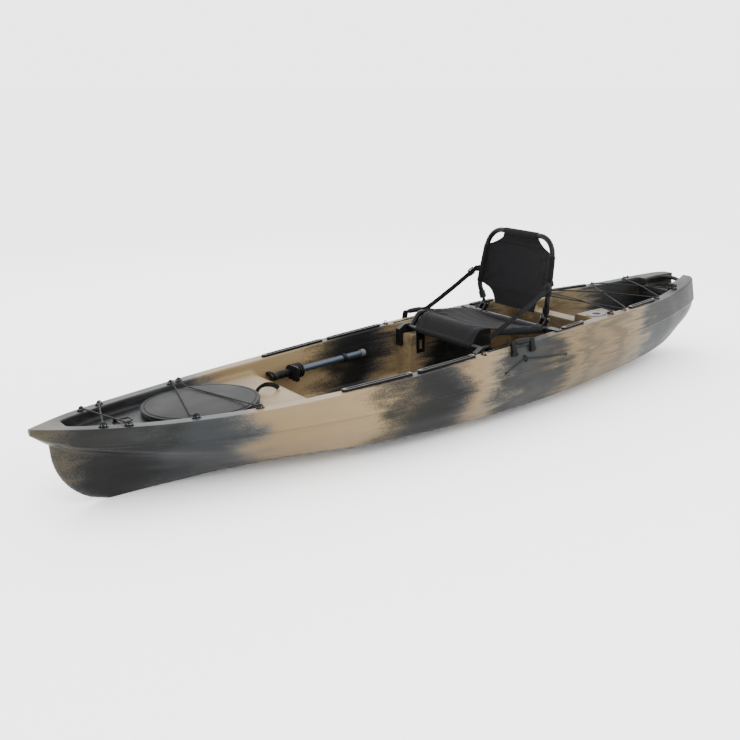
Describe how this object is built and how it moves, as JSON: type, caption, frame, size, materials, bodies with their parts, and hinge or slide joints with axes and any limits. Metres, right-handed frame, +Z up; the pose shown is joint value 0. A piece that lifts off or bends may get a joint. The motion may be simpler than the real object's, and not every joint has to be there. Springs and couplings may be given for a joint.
{
  "type": "kayak",
  "caption": "Sit-on-top angling kayak with a moulded hull, framed folding seat, sliding foot braces, oval bow hatch, gear tracks and tank well.",
  "frame": {"origin": "on the ground under the middle of the keel's flat, amidships, on the centre plane", "axes": "+X runs from amidships to the stern, the bow is at -X; +Y is starboard; +Z is up"},
  "size_m": [3.556, 0.8604, 0.7765],
  "materials": {
    "hull_plastic": "moulded polyethylene in streaks of sand, slate grey and charcoal",
    "black_plastic": "fine-textured moulded nylon",
    "grey_plastic": "smooth moulded plastic",
    "rubber_seal": "foam rubber",
    "grip_rubber": "moulded grip",
    "shock_cord": "braided cover",
    "webbing": "flat nylon webbing",
    "seat_fabric": "coarse woven mesh",
    "black_tube": "powder-coated aluminium",
    "grey_tube": "anodised",
    "steel_fastener": "stainless",
    "foam": "closed-cell foam"
  },
  "bodies": {
    "hull_body": {"bow_bungee": "shock_cord", "bow_handle_base": "black_plastic", "bow_hatch_rim": "black_plastic", "bow_pad_eyes": "black_plastic", "foam_block": "foam", "foot_rack_port": "black_plastic", "foot_rack_starboard": "black_plastic", "foot_rail_clips": "black_plastic", "foot_rail_knobs": "grey_plastic", "foot_rail_port": "grey_tube", "foot_rail_starboard": "grey_tube", "gear_track_screws": "steel_fastener", "gear_tracks_front_port": "black_plastic", "gear_tracks_front_starboard": "black_plastic", "gear_tracks_rear_port": "black_plastic", "gear_tracks_rear_starboard": "black_plastic", "gunwale_pad_eyes": "black_plastic", "gunwale_strips": "black_plastic", "hatch_bungee_front": "shock_cord", "hatch_bungee_rear": "shock_cord", "hatch_pad_eyes": "black_plastic", "hatch_tether": "webbing", "hull": "hull_plastic", "paddle_keeper_bungee": "shock_cord", "paddle_keeper_eye": "black_plastic", "rod_holder_port": "grey_plastic", "rod_holder_starboard": "grey_plastic", "side_handle_anchors": "black_plastic", "stern_handle": "grip_rubber", "stern_handle_bolts": "steel_fastener", "tank_well_bungee": "shock_cord", "tank_well_pad_eyes": "black_plastic"},
    "hatch_cover": {"bow_hatch_lid": "black_plastic", "bow_hatch_gasket": "rubber_seal"},
    "bow_loop": {"bow_handle_loop": "black_plastic"},
    "drain_plug_body": {"drain_plug": "black_plastic"},
    "pedal_starboard": {"foot_pedal_starboard": "black_plastic"},
    "pedal_port": {"foot_pedal_port": "black_plastic"},
    "seat_base": {"seat_pan_frame": "black_tube", "seat_rear_bar": "black_tube", "seat_front_bracket_port": "black_plastic", "seat_front_bracket_starboard": "black_plastic", "seat_front_legs": "black_plastic", "seat_rear_brackets": "black_plastic", "seat_pan_sling": "seat_fabric", "seat_hinge_brackets": "black_tube", "seat_hinge_bolts": "steel_fastener", "seat_strap_port": "webbing", "seat_strap_starboard": "webbing", "seat_strap_buckles": "black_plastic"},
    "seat_back": {"seat_back_frame": "black_tube", "seat_back_ferrules": "black_plastic", "seat_back_sling": "seat_fabric"},
    "handle_starboard": {"side_handle_grip_starboard": "grip_rubber", "side_handle_webbing_starboard": "webbing"},
    "handle_port": {"side_handle_grip_port": "grip_rubber", "side_handle_webbing_port": "webbing"}
  },
  "joints": [
    {"name": "hatch_lift", "type": "slide", "parent": "hull_body", "child": "hatch_cover", "axis": [0, 0, 1], "range_m": [0, 0.07], "deforming": ["hatch_bungee_front", "hatch_bungee_rear"]},
    {"name": "bow_loop_swing", "type": "hinge", "parent": "hull_body", "child": "bow_loop", "pos_m": [-1.47156, 0, 0.27806], "axis": [0, -1, 0], "range_deg": [0, 140]},
    {"name": "drain_plug_turn", "type": "hinge", "parent": "hull_body", "child": "drain_plug_body", "pos_m": [1.655, 0, 0.352], "axis": [0, 0, 1], "continuous": true},
    {"name": "pedal_slide_starboard", "type": "slide", "parent": "hull_body", "child": "pedal_starboard", "axis": [0.9914, 0.1307, 0], "range_m": [0, 0.18]},
    {"name": "pedal_slide_port", "type": "slide", "parent": "hull_body", "child": "pedal_port", "axis": [0.9914, -0.1307, 0], "range_m": [0, 0.18]},
    {"name": "seat_lift_out", "type": "slide", "parent": "hull_body", "child": "seat_base", "axis": [0, 0, 1], "range_m": [0, 0.2]},
    {"name": "seat_back_fold", "type": "hinge", "parent": "seat_base", "child": "seat_back", "pos_m": [0.494, 0, 0.392], "axis": [0, -1, 0], "range_deg": [0, 75], "deforming": ["seat_strap_port", "seat_strap_starboard", "seat_strap_buckles"]},
    {"name": "handle_swing_starboard", "type": "hinge", "parent": "hull_body", "child": "handle_starboard", "pos_m": [0.179, 0.39099, 0.32852], "axis": [-1, 0, 0], "range_deg": [0, 120]},
    {"name": "handle_swing_port", "type": "hinge", "parent": "hull_body", "child": "handle_port", "pos_m": [0.179, -0.39099, 0.32852], "axis": [1, 0, 0], "range_deg": [0, 120]}
  ]
}
